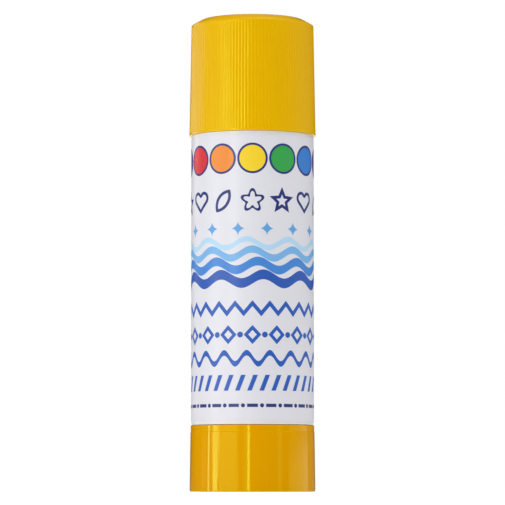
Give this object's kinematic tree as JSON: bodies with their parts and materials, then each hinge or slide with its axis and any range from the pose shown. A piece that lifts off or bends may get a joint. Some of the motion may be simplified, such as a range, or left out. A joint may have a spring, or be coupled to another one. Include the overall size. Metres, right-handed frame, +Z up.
{
  "type": "glue stick",
  "caption": "Twist-up glue stick with a ribbed pull-off cap, a labelled white barrel and a turning base that raises the glue on a threaded spindle.",
  "frame": {"origin": "centre of the base's foot ring, on the surface that the stick stands on", "axes": "+Z up along the stick towards the cap; the label's printed front faces -Y and its lap seam +Y"},
  "size_m": [0.0262, 0.0262, 0.098],
  "materials": {
    "yellow_base": "smooth moulded gloss, golden yellow",
    "yellow_cap": "fine-ribbed moulded semi-gloss, warm yellow",
    "white_barrel": "smooth moulded satin white",
    "label_film": "printed film with a soft gloss",
    "natural_plastic": "uncoloured moulded polypropylene, satin",
    "glue_mass": "cast white glue, waxy"
  },
  "bodies": {
    "barrel": {"barrel": "white_barrel", "label": "label_film"},
    "base": {"turning_base": "yellow_base", "spindle": "natural_plastic"},
    "carrier": {"carrier": "natural_plastic", "glue": "glue_mass"},
    "cap": {"cap": "yellow_cap"}
  },
  "joints": [
    {"name": "base_turn", "type": "hinge", "parent": "barrel", "child": "base", "pos_m": [0, 0, 0], "axis": [0, 0, -1], "range_deg": [0, 5760]},
    {"name": "glue_advance", "type": "slide", "parent": "barrel", "child": "carrier", "axis": [0, 0, 1], "range_m": [0, 0.064]},
    {"name": "cap_lift", "type": "slide", "parent": "carrier", "child": "cap", "axis": [0, 0, 1], "range_m": [0, 0.03]}
  ],
  "couplings": [
    {"joint": "base_turn", "follows": "glue_advance", "rad_per_m": 1570.8}
  ]
}
